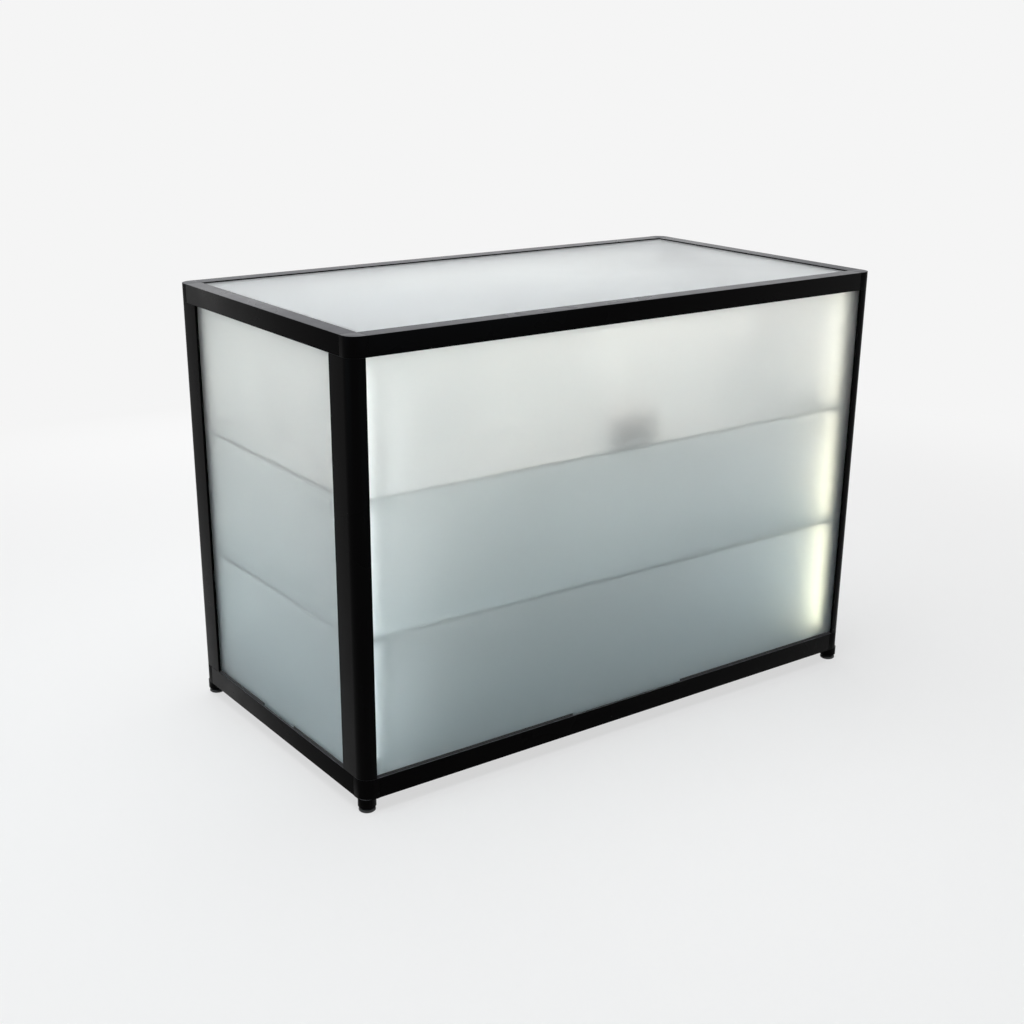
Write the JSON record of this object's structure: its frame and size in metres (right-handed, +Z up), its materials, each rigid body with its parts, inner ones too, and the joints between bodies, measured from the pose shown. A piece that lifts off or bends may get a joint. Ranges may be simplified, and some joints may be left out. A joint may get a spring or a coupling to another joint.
{
  "type": "glass display counter",
  "caption": "Lit display counter: black aluminium frame, frosted glass front, sides and top, glass shelves, sliding back doors with a lock, and levelling feet.",
  "frame": {"origin": "on the floor, under the middle of the counter", "axes": "+X to the right along the front as the customer sees it, +Y from the front to the back, +Z up"},
  "size_m": [1.5, 0.8, 1.05],
  "materials": {
    "black_frame": "satin black powder coat on extruded aluminium",
    "black_block": "satin black powder coat on cast corner blocks",
    "frosted_glass": "frosted glass, pale green-grey",
    "white_glass": "satin white glass with a soft sheen",
    "door_glass": "frosted glass, pale green-grey",
    "shelf_glass": "satin float glass with a dark green edge",
    "black_rubber": "matt black rubber",
    "dark_board": "dark grey laminated board",
    "plated_steel": "zinc-plated steel",
    "plain_aluminium": "natural anodised aluminium",
    "black_plastic": "fine-grained black plastic",
    "grey_plastic": "grey moulded plastic",
    "foot_plastic": "black moulded plastic",
    "white_nylon": "natural nylon",
    "lock_metal": "polished nickel plate",
    "lamp_strip": "white circuit tape with warm white lamps",
    "milky_cover": "milky polycarbonate"
  },
  "bodies": {
    "frame": {"post_front_left": "black_frame", "top_block_front_left": "black_block", "bottom_block_front_left": "black_block", "post_front_right": "black_frame", "top_block_front_right": "black_block", "bottom_block_front_right": "black_block", "post_back_left": "black_frame", "top_block_back_left": "black_block", "bottom_block_back_left": "black_block", "post_back_right": "black_frame", "top_block_back_right": "black_block", "bottom_block_back_right": "black_block", "top_rail_front": "black_frame", "bottom_rail_front": "black_frame", "top_rail_right": "black_frame", "bottom_rail_right": "black_frame", "top_rail_back": "black_frame", "bottom_rail_back": "black_frame", "top_rail_left": "black_frame", "bottom_rail_left": "black_frame", "front_panel": "frosted_glass", "left_panel": "frosted_glass", "right_panel": "frosted_glass", "top_glass": "white_glass", "front_bead": "black_rubber", "left_bead": "black_rubber", "right_bead": "black_rubber", "floor_panel": "dark_board", "lower_shelf": "shelf_glass", "upper_shelf": "shelf_glass", "shelf_brackets": "plated_steel", "door_track_top": "black_frame", "door_track_bottom": "plain_aluminium", "light_channel_left": "plain_aluminium", "light_channel_right": "plain_aluminium", "light_strip_left": "lamp_strip", "light_strip_right": "lamp_strip", "light_cover_left": "milky_cover", "light_cover_right": "milky_cover", "control_box": "grey_plastic", "cable_grommet": "black_rubber"},
    "foot_front_left": {"foot_front_left": "foot_plastic"},
    "foot_front_right": {"foot_front_right": "foot_plastic"},
    "foot_back_left": {"foot_back_left": "foot_plastic"},
    "foot_back_right": {"foot_back_right": "foot_plastic"},
    "door_left": {"door_glass_left": "door_glass", "door_shoe_left": "plain_aluminium", "roller_axles_left": "plated_steel", "finger_cup_left": "black_plastic", "lock_barrel": "lock_metal"},
    "door_right": {"door_glass_right": "door_glass", "door_shoe_right": "plain_aluminium", "roller_axles_right": "plated_steel", "finger_cup_right": "black_plastic", "lock_strike": "black_plastic"},
    "roller_left_outer": {"roller_left_outer": "white_nylon"},
    "roller_left_inner": {"roller_left_inner": "white_nylon"},
    "roller_right_outer": {"roller_right_outer": "white_nylon"},
    "roller_right_inner": {"roller_right_inner": "white_nylon"},
    "lock_plunger": {"lock_plunger": "lock_metal"}
  },
  "joints": [
    {"name": "door_left_slide", "type": "slide", "parent": "frame", "child": "door_left", "axis": [1, 0, 0], "range_m": [0, 0.692]},
    {"name": "door_right_slide", "type": "slide", "parent": "frame", "child": "door_right", "axis": [-1, 0, 0], "range_m": [0, 0.692]},
    {"name": "roller_left_outer_turn", "type": "hinge", "parent": "door_left", "child": "roller_left_outer", "pos_m": [-0.622, 0.381, 0.0972], "axis": [0, 1, 0], "range_deg": [0, 5508.8]},
    {"name": "roller_left_inner_turn", "type": "hinge", "parent": "door_left", "child": "roller_left_inner", "pos_m": [-0.07, 0.381, 0.0972], "axis": [0, 1, 0], "range_deg": [0, 5508.8]},
    {"name": "roller_right_outer_turn", "type": "hinge", "parent": "door_right", "child": "roller_right_outer", "pos_m": [0.622, 0.366, 0.0972], "axis": [0, -1, 0], "range_deg": [0, 5508.8]},
    {"name": "roller_right_inner_turn", "type": "hinge", "parent": "door_right", "child": "roller_right_inner", "pos_m": [0.07, 0.366, 0.0972], "axis": [0, -1, 0], "range_deg": [0, 5508.8]},
    {"name": "lock_push", "type": "slide", "parent": "door_left", "child": "lock_plunger", "axis": [0, 1, 0], "range_m": [-0.0075, 0]},
    {"name": "foot_front_left_level", "type": "slide", "parent": "frame", "child": "foot_front_left", "axis": [0, 0, -1], "range_m": [0, 0.015]},
    {"name": "foot_front_right_level", "type": "slide", "parent": "frame", "child": "foot_front_right", "axis": [0, 0, -1], "range_m": [0, 0.015]},
    {"name": "foot_back_left_level", "type": "slide", "parent": "frame", "child": "foot_back_left", "axis": [0, 0, -1], "range_m": [0, 0.015]},
    {"name": "foot_back_right_level", "type": "slide", "parent": "frame", "child": "foot_back_right", "axis": [0, 0, -1], "range_m": [0, 0.015]}
  ],
  "couplings": [
    {"joint": "roller_left_outer_turn", "follows": "door_left_slide", "rad_per_m": 138.89},
    {"joint": "roller_left_inner_turn", "follows": "door_left_slide", "rad_per_m": 138.89},
    {"joint": "roller_right_outer_turn", "follows": "door_right_slide", "rad_per_m": 138.89},
    {"joint": "roller_right_inner_turn", "follows": "door_right_slide", "rad_per_m": 138.89}
  ]
}
